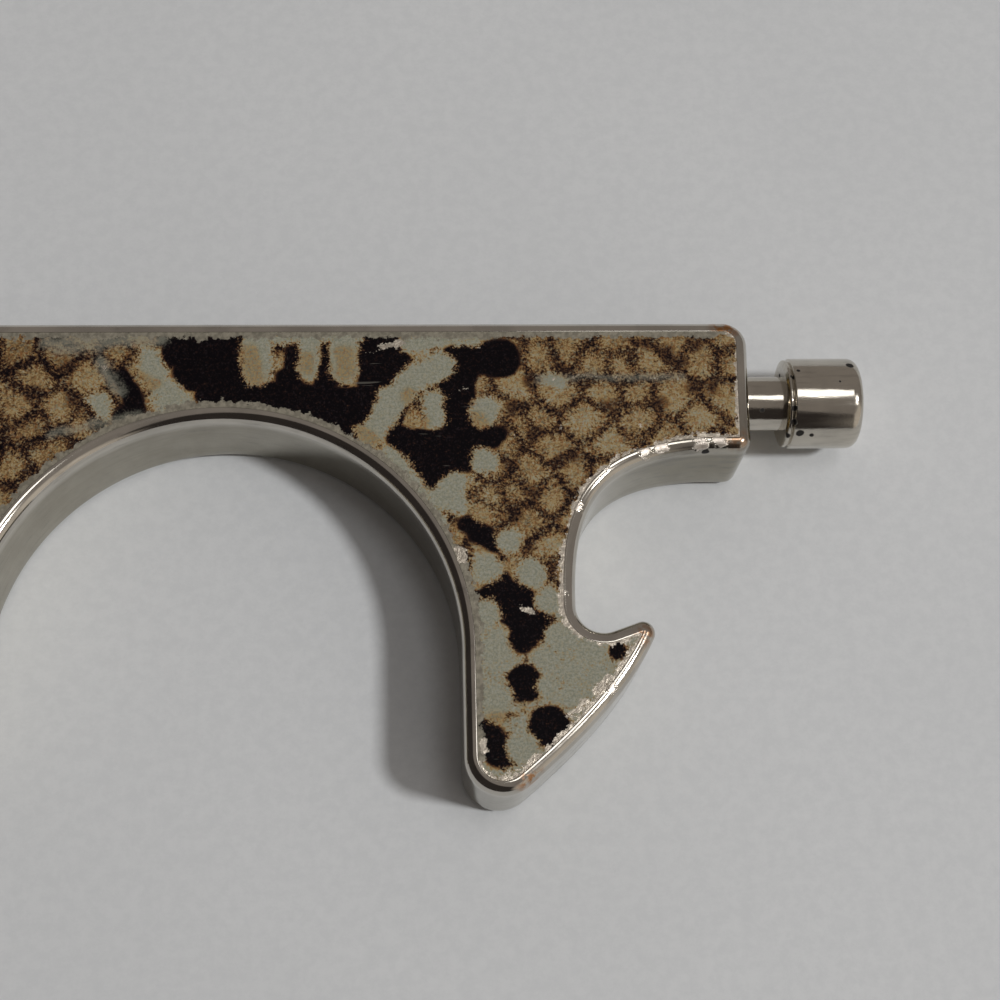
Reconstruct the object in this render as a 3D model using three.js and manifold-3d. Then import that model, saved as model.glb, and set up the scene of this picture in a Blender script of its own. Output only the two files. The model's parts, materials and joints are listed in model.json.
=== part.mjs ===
// Keychain bottle opener: a cast bar with an open finger arch, a hooked opener claw, a sprung
// plunger in the end of the bar, and a short chain with a split ring.
// Millimetres. +X runs along the bar towards the plunger, +Y away from the claw, +Z out of the
// printed face. The origin is on the back face, on the bar's centreline, over the arch's centre.

import * as THREE from "three";
import { mergeVertices } from "three/addons/utils/BufferGeometryUtils.js";
import Module from "manifold-3d";

// ---- driving dimensions: casting ----
const THICKNESS = 8;
const MID = THICKNESS / 2;
const BAR_HALF = 5.1;
const BAR_RIGHT = 38.5;
const END_LEAN = THREE.MathUtils.degToRad(1.6);
const BAR_LEFT = -25.4;
const ARCH_RADIUS = 17;
const ARCH_Y = -19.6;
const CORNER_TOP = 1.8;
const CORNER_BOTTOM = 1.0;
const CORNER_LEFT = 3.0;
const EDGE_BEVEL = 0.5;

// claw and leg, in the same plane as the arch
const LEG_END_Y = ARCH_Y - 7.6;
const LEG_END_RADIUS = 2.66;
const CLAW_BACK = new THREE.Vector2(28.3, ARCH_Y - 4);
const CLAW_TIP = new THREE.Vector2(29.72, ARCH_Y + 0.98);
const CLAW_TIP_RADIUS = 0.86;
const NOTCH_FLOOR = new THREE.Vector2(27, ARCH_Y + 3);
const NOTCH_RADIUS = 1.95;
const NOTCH_ROOF_X = 35.2;
const LEFT_LEG_Y = ARCH_Y - 5.9;

// printed film in its shallow pocket
const RIM_WIDTH = 0.92;
const POCKET_DEPTH = 0.4;
const FILM_GAP = 0.15;
const FILM_LIFT = 0.04;
const FILM_THICKNESS = 0.25;

// key lug
const LUG_X = -29.5;
const LUG_RADIUS = 3.8;
const LUG_THICKNESS = 3.2;
const LUG_HOLE_RADIUS = 2.0;

// ---- driving dimensions: plunger ----
const BORE_RADIUS = 3.0;
const BORE_END = 22.2;
const BUSH_LENGTH = 4.3;
const BUSH_RADIUS = 2.95;
const BUSH_HOLE_RADIUS = 2.15;
const ROD_RADIUS = 2.05;
const ROD_TAIL_RADIUS = 1.5;
const ROD_TAIL_END = 26.4;
const GROOVE_RADIUS = 1.2;
const CLIP_RADIUS = 2.75;
const CLIP_THICKNESS = 0.6;
const STEM_SHOWN = 3.0;
const HEAD_RADIUS = 3.4;
const HEAD_LENGTH = 5.75;
const HEAD_SOCKET = 3.8;
const SPRING_RADIUS = 2.1;
const SPRING_WIRE = 0.25;
const SPRING_TURNS = 7;

// ---- driving dimensions: chain and key ring ----
const WIRE = 0.75;
const LOOP_RADIUS = 3.25;
const LINK_STRAIGHT = 3.0;
const LINK_COUNT = 4;
const WIRE_GAP = 0.25;
const RING_RADIUS = 12.15;
const RING_WIDTH = 1.7;
const COIL_THICKNESS = 1.25;
const COIL_PITCH = 1.35;
const RING_TILT = THREE.MathUtils.degToRad(6.1);

const ROUND_SIDES = 24;
const WIRE_SIDES = 8;

// ---- materials ----
const finish = (color, roughness, metalness) =>
  new THREE.MeshStandardMaterial({ color, roughness, metalness });
const MATERIALS = {
  nickel: finish(0xb9b7b0, 0.25, 1),
  film: finish(0x7d7462, 0.5, 0),
  chrome: finish(0xc4c2bd, 0.15, 1),
  brass: finish(0xb08d4a, 0.35, 1),
  spring: finish(0x8c8d8f, 0.35, 1),
  steel: finish(0xa9aaac, 0.3, 1),
};

const wasm = await Module();
wasm.setup();

// A closed geometry with only shared positions.
function welded(geometry) {
  const bare = geometry.clone();
  bare.deleteAttribute("normal");
  bare.deleteAttribute("uv");
  return mergeVertices(bare, 1e-4);
}

function toSolid(geometry) {
  const mesh = welded(geometry);
  return new wasm.Manifold(new wasm.Mesh({
    numProp: 3,
    vertProperties: new Float32Array(mesh.attributes.position.array),
    triVerts: new Uint32Array(mesh.index.array),
  }));
}

function toGeometry(solid) {
  const mesh = solid.getMesh();
  const geometry = new THREE.BufferGeometry();
  geometry.setAttribute("position", new THREE.BufferAttribute(mesh.vertProperties, 3));
  geometry.setIndex(new THREE.BufferAttribute(mesh.triVerts, 1));
  geometry.computeVertexNormals();
  return geometry;
}

// A plate of the given shape between two heights.
function plate(shape, bottom, top, curveSegments = 12) {
  const geometry = new THREE.ExtrudeGeometry(shape, {
    depth: top - bottom,
    bevelEnabled: false,
    curveSegments,
  });
  return geometry.translate(0, 0, bottom);
}

// A turned part on the bar's centreline, from [x, radius] pairs that start and end on the axis.
function turned(profile, sides = ROUND_SIDES) {
  const points = profile.map(([x, radius]) => new THREE.Vector2(radius, x));
  return new THREE.LatheGeometry(points, sides).rotateZ(-Math.PI / 2).translate(0, 0, MID);
}

// A tube between two x positions, with a closed wall from inner to outer radius.
function sleeve(from, to, inner, outer) {
  return turned([[from, inner], [to, inner], [to, outer], [from, outer], [from, inner]].reverse());
}

// The centre of a rounded corner on the bar's slightly leaning right end.
function endCorner(y, radius) {
  return new THREE.Vector2(BAR_RIGHT + y * Math.tan(END_LEAN) - radius / Math.cos(END_LEAN), y);
}

// ---- outline of the casting, anticlockwise ----
function castingOutline() {
  const shape = new THREE.Shape();
  shape.moveTo(BAR_LEFT, BAR_HALF - CORNER_LEFT);
  shape.lineTo(BAR_LEFT, LEFT_LEG_Y);
  const legHalf = (-ARCH_RADIUS - BAR_LEFT) / 2;
  shape.absarc(BAR_LEFT + legHalf, LEFT_LEG_Y, legHalf, Math.PI, 2 * Math.PI, false);
  shape.lineTo(-ARCH_RADIUS, ARCH_Y);
  shape.absarc(0, ARCH_Y, ARCH_RADIUS, Math.PI, 0, true);
  shape.lineTo(ARCH_RADIUS, LEG_END_Y);
  const legTurn = THREE.MathUtils.degToRad(-49);
  shape.absarc(ARCH_RADIUS + LEG_END_RADIUS, LEG_END_Y, LEG_END_RADIUS, Math.PI, legTurn + 2 * Math.PI, false);
  const tipStart = THREE.MathUtils.degToRad(-25);
  const tipEnd = THREE.MathUtils.degToRad(110);
  shape.quadraticCurveTo(
    CLAW_BACK.x,
    CLAW_BACK.y,
    CLAW_TIP.x + CLAW_TIP_RADIUS * Math.cos(tipStart),
    CLAW_TIP.y + CLAW_TIP_RADIUS * Math.sin(tipStart),
  );
  shape.absarc(CLAW_TIP.x, CLAW_TIP.y, CLAW_TIP_RADIUS, tipStart, tipEnd, false);
  const lipEnd = THREE.MathUtils.degToRad(-70);
  shape.absarc(NOTCH_FLOOR.x, NOTCH_FLOOR.y, NOTCH_RADIUS, lipEnd, -Math.PI, true);
  const wallX = NOTCH_FLOOR.x - NOTCH_RADIUS;
  shape.bezierCurveTo(wallX, ARCH_Y + 10.9, 27.4, -BAR_HALF - 0.5, NOTCH_ROOF_X, -BAR_HALF);
  const low = endCorner(CORNER_BOTTOM - BAR_HALF, CORNER_BOTTOM);
  const high = endCorner(BAR_HALF - CORNER_TOP, CORNER_TOP);
  shape.lineTo(low.x, -BAR_HALF);
  shape.absarc(low.x, low.y, CORNER_BOTTOM, -Math.PI / 2, -END_LEAN, false);
  shape.absarc(high.x, high.y, CORNER_TOP, -END_LEAN, Math.PI / 2, false);
  shape.lineTo(BAR_LEFT + CORNER_LEFT, BAR_HALF);
  shape.absarc(BAR_LEFT + CORNER_LEFT, BAR_HALF - CORNER_LEFT, CORNER_LEFT, Math.PI / 2, Math.PI, false);
  return shape;
}

// The distance from a point to a closed outline.
function outlineDistance(point, outline) {
  const span = new THREE.Vector2();
  const offset = new THREE.Vector2();
  let nearest = Infinity;
  outline.forEach((start, i) => {
    const end = outline[(i + 1) % outline.length];
    span.subVectors(end, start);
    offset.subVectors(point, start);
    const t = THREE.MathUtils.clamp(offset.dot(span) / Math.max(span.lengthSq(), 1e-9), 0, 1);
    nearest = Math.min(nearest, offset.addScaledVector(span, -t).length());
  });
  return nearest;
}

// A closed outline with a point at least every half millimetre, so that it can be moved inwards.
function finePoints(shape, curveSegments) {
  const corners = shape.getPoints(curveSegments);
  return corners.flatMap((start, i) => {
    const end = corners[(i + 1) % corners.length];
    const count = Math.ceil(start.distanceTo(end) / 0.5);
    return Array.from({ length: count }, (_, k) => start.clone().lerp(end, k / count));
  });
}

// Drops the points that lie within a few microns of the line between their neighbours.
function withoutStraightPoints(points) {
  const kept = [points[0]];
  for (let i = 1; i < points.length; i += 1) {
    const before = kept[kept.length - 1];
    const after = points[(i + 1) % points.length];
    const along = new THREE.Vector2().subVectors(after, before);
    const out = new THREE.Vector2().subVectors(points[i], before);
    if (Math.abs(along.cross(out)) > 4e-3 * along.length()) {
      kept.push(points[i]);
    }
  }
  return kept;
}

// The outline moved inwards by a distance, with the points dropped where it would fold over.
function insetShape(shape, distance, curveSegments) {
  const outline = finePoints(shape, curveSegments);
  const moved = outline.map((p, i) => {
    const before = outline[(i + outline.length - 1) % outline.length];
    const after = outline[(i + 1) % outline.length];
    const along = new THREE.Vector2().subVectors(p, before).normalize();
    along.add(new THREE.Vector2().subVectors(after, p).normalize()).normalize();
    return new THREE.Vector2(p.x - along.y * distance, p.y + along.x * distance);
  });
  const kept = moved.filter((p) => outlineDistance(p, outline) > distance * 0.985);
  return new THREE.Shape(withoutStraightPoints(kept));
}

const OUTLINE = castingOutline();
const OUTLINE_SEGMENTS = 14;

function bodyCasting() {
  const blank = new THREE.ExtrudeGeometry(OUTLINE, {
    depth: THICKNESS - 2 * EDGE_BEVEL,
    bevelEnabled: true,
    bevelSegments: 1,
    bevelSize: EDGE_BEVEL,
    bevelThickness: EDGE_BEVEL,
    bevelOffset: -EDGE_BEVEL,
    curveSegments: OUTLINE_SEGMENTS,
  }).translate(0, 0, EDGE_BEVEL);

  const lug = new THREE.Shape();
  lug.moveTo(BAR_LEFT + 2, LUG_RADIUS);
  lug.lineTo(LUG_X, LUG_RADIUS);
  lug.absarc(LUG_X, 0, LUG_RADIUS, Math.PI / 2, 1.5 * Math.PI, false);
  lug.lineTo(BAR_LEFT + 2, -LUG_RADIUS);
  const lugPlate = plate(lug, MID - LUG_THICKNESS / 2, MID + LUG_THICKNESS / 2);

  const hole = new THREE.Shape();
  hole.absarc(LUG_X, 0, LUG_HOLE_RADIUS, 0, 2 * Math.PI, false);
  const holeCutter = plate(hole, -1, THICKNESS + 1);

  const pocket = plate(
    insetShape(OUTLINE, RIM_WIDTH, OUTLINE_SEGMENTS),
    THICKNESS - POCKET_DEPTH,
    THICKNESS + 1,
  );
  const bore = turned([[BORE_END, 0], [BORE_END, BORE_RADIUS], [BAR_RIGHT + 1, BORE_RADIUS], [BAR_RIGHT + 1, 0]]);

  let casting = toSolid(blank).add(toSolid(lugPlate));
  for (const cutter of [holeCutter, pocket, bore]) {
    casting = casting.subtract(toSolid(cutter));
  }
  return toGeometry(casting);
}

function printFilm() {
  const bottom = THICKNESS - POCKET_DEPTH + FILM_LIFT;
  return plate(insetShape(OUTLINE, RIM_WIDTH + FILM_GAP, OUTLINE_SEGMENTS), bottom, bottom + FILM_THICKNESS);
}

// ---- plunger ----
const BUSH_END = BAR_RIGHT - 0.1;
const BUSH_START = BUSH_END - BUSH_LENGTH;
const CLIP_END = BUSH_START - 0.1;
const CLIP_START = CLIP_END - CLIP_THICKNESS;
const HEAD_START = BAR_RIGHT + STEM_SHOWN;

function guideBush() {
  return sleeve(BUSH_START, BUSH_END, BUSH_HOLE_RADIUS, BUSH_RADIUS);
}

function plungerRod() {
  const play = 0.05;
  const end = HEAD_START + HEAD_SOCKET - 0.1;
  return turned([
    [ROD_TAIL_END, 0],
    [ROD_TAIL_END, ROD_TAIL_RADIUS - 0.3],
    [ROD_TAIL_END + 0.3, ROD_TAIL_RADIUS],
    [CLIP_START - play, ROD_TAIL_RADIUS],
    [CLIP_START - play, GROOVE_RADIUS],
    [CLIP_END + play, GROOVE_RADIUS],
    [CLIP_END + play, ROD_RADIUS],
    [end, ROD_RADIUS],
    [end, 0],
  ]);
}

// The head is a round button with a stepped inner collar, a fine groove and a rounded nose.
function plungerHead() {
  const nose = HEAD_START + HEAD_LENGTH;
  const noseRadius = 0.85;
  const collarEnd = HEAD_START + 0.85;
  const socketRadius = ROD_RADIUS + 0.05;
  const profile = [
    [HEAD_START + HEAD_SOCKET, 0],
    [HEAD_START + HEAD_SOCKET, socketRadius],
    [HEAD_START, socketRadius],
    [HEAD_START, HEAD_RADIUS - 0.6],
    [HEAD_START + 0.18, HEAD_RADIUS - 0.2],
    [HEAD_START + 0.55, HEAD_RADIUS],
    [collarEnd - 0.1, HEAD_RADIUS],
    [collarEnd, HEAD_RADIUS - 0.15],
    [collarEnd + 0.1, HEAD_RADIUS],
  ];
  for (let step = 0; step <= 4; step += 1) {
    const angle = (step / 4) * (Math.PI / 2);
    profile.push([
      nose - noseRadius + noseRadius * Math.sin(angle),
      HEAD_RADIUS - noseRadius + noseRadius * Math.cos(angle),
    ]);
  }
  profile.push([nose, 0]);
  return turned(profile);
}

// An open retaining clip in the rod's groove.
function retainingClip() {
  const gap = THREE.MathUtils.degToRad(38);
  const shape = new THREE.Shape();
  shape.absarc(0, 0, CLIP_RADIUS, gap, 2 * Math.PI - gap, false);
  shape.absarc(0, 0, GROOVE_RADIUS + 0.08, 2 * Math.PI - gap, gap, true);
  const geometry = plate(shape, 0, CLIP_THICKNESS, 14);
  return geometry.rotateY(Math.PI / 2).translate(CLIP_START, 0, MID);
}

class Helix extends THREE.Curve {
  constructor(start, end, radius, turns) {
    super();
    Object.assign(this, { start, end, radius, turns });
  }

  getPoint(t, target = new THREE.Vector3()) {
    const angle = 2 * Math.PI * this.turns * t;
    return target.set(
      THREE.MathUtils.lerp(this.start, this.end, t),
      this.radius * Math.cos(angle),
      MID + this.radius * Math.sin(angle),
    );
  }
}

function circleShape(radius, sides) {
  const points = [];
  for (let i = 0; i < sides; i += 1) {
    const angle = (2 * Math.PI * i) / sides;
    points.push(new THREE.Vector2(radius * Math.cos(angle), radius * Math.sin(angle)));
  }
  return new THREE.Shape(points);
}

function returnSpring() {
  const clear = SPRING_WIRE + 0.1;
  const path = new Helix(BORE_END + clear, CLIP_START - clear, SPRING_RADIUS, SPRING_TURNS);
  return new THREE.ExtrudeGeometry(circleShape(SPRING_WIRE, 6), {
    extrudePath: path,
    steps: SPRING_TURNS * 12,
    bevelEnabled: false,
  });
}

// ---- chain ----
// A round-wire loop in the XY plane, stretched along X by moving its two halves apart.
function wireLoop(straight) {
  const geometry = new THREE.TorusGeometry(LOOP_RADIUS, WIRE, WIRE_SIDES, 22);
  const position = geometry.attributes.position;
  for (let i = 0; i < position.count; i += 1) {
    const x = position.getX(i);
    position.setX(i, x + Math.sign(x) * (straight / 2));
  }
  return geometry;
}

const JUMP_RING_X = LUG_X - 3.7;
const LINK_REACH = 2 * LOOP_RADIUS + LINK_STRAIGHT;
const CROSSING = 2 * WIRE + WIRE_GAP;
const FIRST_LINK_X = JUMP_RING_X - LOOP_RADIUS + CROSSING;

// The x position of a link's right-hand wire, counting links from 1.
function linkStart(number) {
  return FIRST_LINK_X - (number - 1) * (LINK_REACH - CROSSING);
}

const RING_GRIP_X = linkStart(LINK_COUNT) - LINK_REACH + LOOP_RADIUS - 1.05;

// The split ring's wire: one turn, a short step up, and a second turn lying on the first.
class SplitCoil extends THREE.Curve {
  getPoint(t, target = new THREE.Vector3()) {
    const first = THREE.MathUtils.degToRad(34);
    const last = THREE.MathUtils.degToRad(686);
    const angle = THREE.MathUtils.lerp(first, last, t);
    const climb = THREE.MathUtils.smoothstep(angle, THREE.MathUtils.degToRad(332), THREE.MathUtils.degToRad(388));
    return target.set(
      RING_RADIUS * Math.cos(angle),
      RING_RADIUS * Math.sin(angle),
      (climb - 0.5) * COIL_PITCH,
    );
  }
}

function splitRing() {
  const across = COIL_THICKNESS / 2;
  const wide = RING_WIDTH / 2;
  const soft = 0.25;
  const corners = [
    [-across, -wide + soft], [-across + soft, -wide], [across - soft, -wide], [across, -wide + soft],
    [across, wide - soft], [across - soft, wide], [-across + soft, wide], [-across, wide - soft],
  ].map(([x, y]) => new THREE.Vector2(x, y));
  return new THREE.ExtrudeGeometry(new THREE.Shape(corners), {
    extrudePath: new SplitCoil(),
    steps: 64,
    bevelEnabled: false,
  });
}

// ---- assembly ----
const group = new THREE.Group();

function addPart(name, geometry, material, parent = group) {
  const mesh = new THREE.Mesh(geometry, material);
  mesh.name = name;
  parent.add(mesh);
  return mesh;
}

addPart("body_casting", bodyCasting(), MATERIALS.nickel);
addPart("front_print_film", printFilm(), MATERIALS.film);
addPart("guide_bush", guideBush(), MATERIALS.brass);
addPart("plunger_rod", plungerRod(), MATERIALS.chrome);
addPart("plunger_head", plungerHead(), MATERIALS.chrome);
addPart("retaining_clip", retainingClip(), MATERIALS.spring);
addPart("return_spring", returnSpring(), MATERIALS.spring);

const jumpRing = addPart("jump_ring", wireLoop(0), MATERIALS.steel);
jumpRing.position.set(JUMP_RING_X, 0, MID);
jumpRing.rotation.x = Math.PI / 2;

for (let number = 1; number <= LINK_COUNT; number += 1) {
  const link = addPart(`chain_link_${number}`, wireLoop(LINK_STRAIGHT), MATERIALS.steel);
  link.position.set(linkStart(number) - LINK_REACH / 2, 0, MID);
  link.rotation.x = number % 2 === 0 ? Math.PI / 2 : 0;
}

const keyRing = new THREE.Group();
keyRing.position.set(RING_GRIP_X, 0, MID);
keyRing.rotation.y = -RING_TILT;
const ringMesh = addPart("split_ring", splitRing(), MATERIALS.steel, keyRing);
ringMesh.position.x = -RING_RADIUS;
group.add(keyRing);

export default group;
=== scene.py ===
import json
import math

import bpy
import numpy as np
from mathutils import Matrix, Vector, geometry, noise


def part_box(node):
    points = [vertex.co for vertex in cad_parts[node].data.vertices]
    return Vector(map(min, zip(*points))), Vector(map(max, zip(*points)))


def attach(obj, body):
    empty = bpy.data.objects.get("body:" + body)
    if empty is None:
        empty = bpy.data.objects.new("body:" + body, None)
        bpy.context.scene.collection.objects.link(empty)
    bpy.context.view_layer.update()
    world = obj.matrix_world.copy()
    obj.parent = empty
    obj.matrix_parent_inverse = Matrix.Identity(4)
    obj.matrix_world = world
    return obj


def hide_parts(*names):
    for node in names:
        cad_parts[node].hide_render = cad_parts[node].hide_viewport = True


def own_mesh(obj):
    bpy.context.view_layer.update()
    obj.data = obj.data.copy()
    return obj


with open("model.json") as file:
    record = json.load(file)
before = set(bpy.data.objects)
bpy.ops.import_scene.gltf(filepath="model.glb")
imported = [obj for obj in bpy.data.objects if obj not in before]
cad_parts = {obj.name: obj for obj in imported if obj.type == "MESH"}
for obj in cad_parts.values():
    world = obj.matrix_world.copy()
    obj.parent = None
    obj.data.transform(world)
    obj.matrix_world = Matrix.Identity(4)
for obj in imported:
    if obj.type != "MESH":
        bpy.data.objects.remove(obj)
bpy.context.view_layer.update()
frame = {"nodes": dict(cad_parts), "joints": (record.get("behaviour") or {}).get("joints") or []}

# ---------------------------------------------------------------- sizes, in millimetres
MM = 0.001


def box_mm(node):
    """A CAD node's lowest and highest corners, in millimetres."""
    low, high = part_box(node)
    return [c / MM for c in low], [c / MM for c in high]


cast_low, cast_high = box_mm("body_casting")
bush_low, bush_high = box_mm("guide_bush")
spring_low, spring_high = box_mm("return_spring")
THICKNESS = cast_high[2]
MID = THICKNESS / 2
BAR_RIGHT = bush_high[0] + 0.1
BAR_HALF = cast_high[1]
BAR_LEFT = -25.4
END_LEAN = math.radians(1.6)
ARCH_RADIUS = 17.0
ARCH_Y = -19.6
CORNER_TOP = 1.8
CORNER_BOTTOM = 1.0
CORNER_LEFT = 3.0
LEG_END_Y = ARCH_Y - 7.6
LEG_END_RADIUS = 2.66
CLAW_BACK = (28.3, ARCH_Y - 4)
CLAW_TIP = (29.72, ARCH_Y + 0.98)
CLAW_TIP_RADIUS = 0.86
NOTCH_FLOOR = (27.0, ARCH_Y + 3)
NOTCH_RADIUS = 1.95
NOTCH_ROOF_X = 35.2
LEFT_LEG_Y = ARCH_Y - 5.9

FRONT_ROUND = 0.86
BACK_ROUND = 0.9
RIM = 0.9
POCKET_FLOOR = THICKNESS - 0.1
FILM_TOP = THICKNESS - 0.012

LUG_X = -29.5
LUG_RADIUS = LUG_X - cast_low[0]
LUG_THICKNESS = 3.2
LUG_HOLE = 2.0
BORE_RADIUS = 3.0
BORE_END = spring_low[0] - 0.1


# ---------------------------------------------------------------- outline helpers
def arc(centre, radius, start, end):
    """Points along an arc in degrees, anticlockwise when end is more than start, without the last point."""
    sweep = math.radians(abs(end - start))
    count = max(6, math.ceil(sweep * radius / 0.22), math.ceil(sweep / math.radians(6)))
    angles = np.radians(start + (end - start) * np.arange(count) / count)
    return np.stack([centre[0] + radius * np.cos(angles), centre[1] + radius * np.sin(angles)], axis=1)


def bezier(*controls, count=60):
    """Points along a Bezier curve. The last point is left out."""
    t = (np.arange(count) / count)[:, None]
    order = len(controls) - 1
    return sum(
        math.comb(order, k) * (1 - t) ** (order - k) * t**k * np.array(point, float)
        for k, point in enumerate(controls)
    )


def line(start, end, step=0.3):
    """Points along a straight line. The last point is left out."""
    start, end = np.array(start, float), np.array(end, float)
    count = max(1, math.ceil(np.linalg.norm(end - start) / step))
    return start + (end - start) * (np.arange(count) / count)[:, None]


def on_circle(centre, radius, degrees):
    angle = math.radians(degrees)
    return (centre[0] + radius * math.cos(angle), centre[1] + radius * math.sin(angle))


def end_corner(y, radius):
    """The centre of a rounded corner on the bar's slightly leaning right end."""
    return (BAR_RIGHT + y * math.tan(END_LEAN) - radius / math.cos(END_LEAN), y)


def casting_outline():
    """The casting's outline, anticlockwise, with the same curves as the CAD part."""
    leg_half = (-ARCH_RADIUS - BAR_LEFT) / 2
    leg_turn, tip_start, tip_end, lip_end = -49, -25, 110, -70
    leg_centre = (ARCH_RADIUS + LEG_END_RADIUS, LEG_END_Y)
    wall_x = NOTCH_FLOOR[0] - NOTCH_RADIUS
    lean = math.degrees(END_LEAN)
    right_low = end_corner(CORNER_BOTTOM - BAR_HALF, CORNER_BOTTOM)
    right_top = end_corner(BAR_HALF - CORNER_TOP, CORNER_TOP)
    left_top = (BAR_LEFT + CORNER_LEFT, BAR_HALF - CORNER_LEFT)
    return np.concatenate([
        line((BAR_LEFT, BAR_HALF - CORNER_LEFT), (BAR_LEFT, LEFT_LEG_Y)),
        arc((BAR_LEFT + leg_half, LEFT_LEG_Y), leg_half, 180, 360),
        line((-ARCH_RADIUS, LEFT_LEG_Y), (-ARCH_RADIUS, ARCH_Y)),
        arc((0, ARCH_Y), ARCH_RADIUS, 180, 0),
        line((ARCH_RADIUS, ARCH_Y), (ARCH_RADIUS, LEG_END_Y)),
        arc(leg_centre, LEG_END_RADIUS, 180, 360 + leg_turn),
        bezier(
            on_circle(leg_centre, LEG_END_RADIUS, leg_turn),
            CLAW_BACK,
            on_circle(CLAW_TIP, CLAW_TIP_RADIUS, tip_start),
        ),
        arc(CLAW_TIP, CLAW_TIP_RADIUS, tip_start, tip_end),
        line(
            on_circle(CLAW_TIP, CLAW_TIP_RADIUS, tip_end),
            on_circle(NOTCH_FLOOR, NOTCH_RADIUS, lip_end),
            0.15,
        ),
        arc(NOTCH_FLOOR, NOTCH_RADIUS, lip_end, -180),
        bezier(
            (wall_x, NOTCH_FLOOR[1]),
            (wall_x, ARCH_Y + 10.9),
            (27.4, -BAR_HALF - 0.5),
            (NOTCH_ROOF_X, -BAR_HALF),
            count=80,
        ),
        line((NOTCH_ROOF_X, -BAR_HALF), (right_low[0], -BAR_HALF)),
        arc(right_low, CORNER_BOTTOM, -90, -lean),
        line(on_circle(right_low, CORNER_BOTTOM, -lean), on_circle(right_top, CORNER_TOP, -lean)),
        arc(right_top, CORNER_TOP, -lean, 90),
        line((right_top[0], BAR_HALF), (left_top[0], BAR_HALF)),
        arc(left_top, CORNER_LEFT, 90, 180),
    ])


def inward_normals(points):
    along = np.roll(points, -1, axis=0) - np.roll(points, 1, axis=0)
    along /= np.linalg.norm(along, axis=1)[:, None]
    return np.stack([-along[:, 1], along[:, 0]], axis=1)


def distance_to_outline(points, outline):
    """The distance from each point to a closed outline."""
    starts = outline
    spans = np.roll(outline, -1, axis=0) - starts
    lengths = np.maximum((spans**2).sum(1), 1e-12)
    nearest = np.full(len(points), np.inf)
    for part in np.array_split(np.arange(len(points)), max(1, len(points) // 2000)):
        offset = points[part, None, :] - starts[None]
        t = np.clip((offset * spans[None]).sum(2) / lengths, 0, 1)
        gap = offset - t[..., None] * spans[None]
        nearest[part] = np.sqrt((gap**2).sum(2)).min(1)
    return nearest


def inset_limits(outline, normals, deepest):
    """How far each outline point can move inwards before it meets the far side."""
    limits = np.full(len(outline), deepest)
    for depth in np.arange(0.1, deepest, 0.05):
        short = distance_to_outline(outline + normals * depth, outline) < depth - 0.012
        limits = np.where(short & (limits > depth), depth - 0.05, limits)
    return limits


OUTLINE = casting_outline()
NORMALS = inward_normals(OUTLINE)
LIMITS = inset_limits(OUTLINE, NORMALS, 1.6)


# ---------------------------------------------------------------- mesh helpers
def new_object(name, vertices_mm, faces, body, sharp=35, material=None):
    mesh = bpy.data.meshes.new(name)
    mesh.from_pydata([tuple(c * MM for c in v) for v in vertices_mm], [], faces)
    mesh.validate()
    mesh.shade_smooth()
    mesh.set_sharp_from_angle(angle=math.radians(sharp))
    obj = bpy.data.objects.new(name, mesh)
    bpy.context.collection.objects.link(obj)
    if material:
        mesh.materials.append(material)
    if body:
        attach(obj, body)
    return obj


def strips(rows, width, closed=True, first=0):
    """Quads between rows of points that were added one after the other."""
    faces = []
    last = width if closed else width - 1
    for r in range(rows - 1):
        for i in range(last):
            a = first + r * width + i
            b = first + r * width + (i + 1) % width
            faces.append((a, b, b + width, a + width))
    return faces


def turned(profile, sides=96, axis_z=MID):
    """A turned mesh on the bar's centreline, from (x, radius) pairs, open at its first and last ring."""
    angles = 2 * math.pi * np.arange(sides) / sides
    vertices = [(x, r * math.cos(a), axis_z + r * math.sin(a)) for x, r in profile for a in angles]
    faces = strips(len(profile), sides)
    return vertices, faces


def turned_solid(profile, sides=96):
    """A turned mesh with its first and last ring closed by flat faces that look outwards."""
    vertices, faces = turned(profile, sides)
    last = len(vertices) - sides
    return vertices, faces + [tuple(range(sides))[::-1], tuple(range(last, len(vertices)))]


def rounded(points, radius_steps):
    """A profile with chosen corners rounded. Each entry is (x, r) or (x, r, radius)."""
    result = []
    for i, point in enumerate(points):
        if len(point) == 2:
            result.append(point)
            continue
        here = np.array(point[:2])
        before = np.array(points[i - 1][:2]) - here
        after = np.array(points[(i + 1) % len(points)][:2]) - here
        reach = min(point[2], 0.49 * np.linalg.norm(before), 0.49 * np.linalg.norm(after))
        start = here + before / np.linalg.norm(before) * reach
        end = here + after / np.linalg.norm(after) * reach
        for t in np.linspace(0, 1, radius_steps):
            result.append(tuple((1 - t) ** 2 * start + 2 * t * (1 - t) * here + t**2 * end))
    return result


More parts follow.
